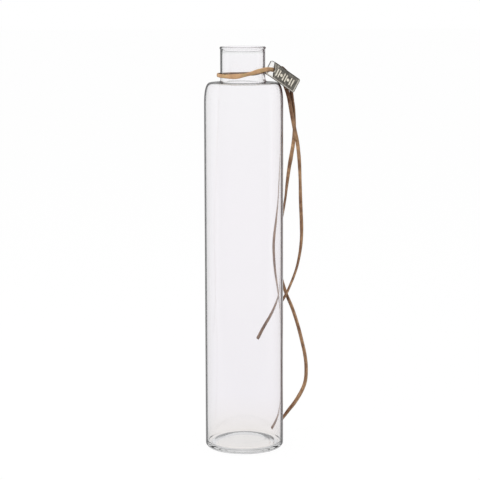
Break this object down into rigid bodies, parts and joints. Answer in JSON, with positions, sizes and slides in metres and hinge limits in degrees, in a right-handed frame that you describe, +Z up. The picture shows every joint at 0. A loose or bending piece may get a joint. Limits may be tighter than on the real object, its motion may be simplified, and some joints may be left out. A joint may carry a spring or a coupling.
{
  "type": "bottle vase",
  "caption": "Tall straight clear-glass bottle vase with a short wide neck, a flat leather lace tied round the neck and a small metal tag resting on the shoulder.",
  "frame": {"origin": "middle of the foot, on the surface that the vase stands on", "axes": "+Z up along the bottle's axis; the broad front of the tag faces -Y; the knot and the tag lie on the +X side of the neck"},
  "size_m": [0.086, 0.0696, 0.33],
  "materials": {
    "clear_glass": "smooth and fire-polished, clear with a faint cool tint",
    "brown_leather": "flat brown lace, mottled light and dark, paler at the cut edges",
    "worn_pewter": "dull grey stamped metal with a raised border, bare, brighter at worn edges"
  },
  "bodies": {
    "vase": {"glass_vase": "clear_glass"},
    "lace": {"neck_loop": "brown_leather", "lace_knot": "brown_leather", "lace_tail_short": "brown_leather", "lace_tail_long": "brown_leather"},
    "tag": {"metal_tag": "worn_pewter"}
  },
  "joints": [
    {"name": "lace_turn", "type": "hinge", "parent": "vase", "child": "lace", "pos_m": [0, 0, 0.3036], "axis": [0, 0, 1], "continuous": true},
    {"name": "tag_swing", "type": "hinge", "parent": "lace", "child": "tag", "pos_m": [0.02315, -0.0118, 0.31226], "axis": [0, -1, 0], "range_deg": [0, 80]}
  ]
}
